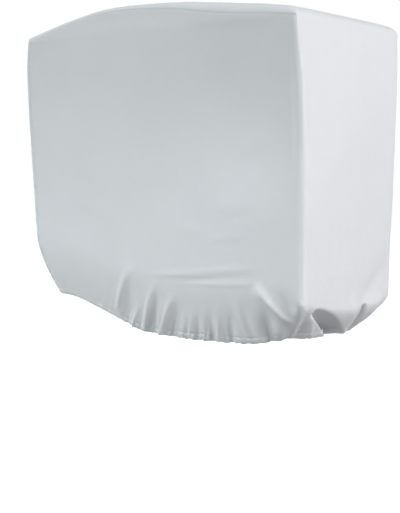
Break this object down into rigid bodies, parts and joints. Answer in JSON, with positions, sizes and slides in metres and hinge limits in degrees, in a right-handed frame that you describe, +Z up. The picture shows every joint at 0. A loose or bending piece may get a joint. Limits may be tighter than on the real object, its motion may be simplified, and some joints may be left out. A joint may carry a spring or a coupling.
{
  "type": "outboard motor cover",
  "caption": "Hollow box-shaped cloth cover for an outboard motor's hood, open below, drawn in by an elastic gathered hem that rises to the front.",
  "frame": {"origin": "below the middle of the cover, at the level of its hem's lowest point", "axes": "+X towards the back of the motor, which faces away from the boat, +Y to starboard, +Z up"},
  "size_m": [0.8194, 0.4753, 0.7794],
  "materials": {
    "side_cloth": "pale silver-grey coated woven polyester, matt with a faint sheen",
    "strip_cloth": "the same pale silver-grey coated woven polyester"
  },
  "bodies": {
    "root": {"side_panel_port": "side_cloth", "side_panel_starboard": "side_cloth", "centre_strip": "strip_cloth"}
  },
  "joints": []
}
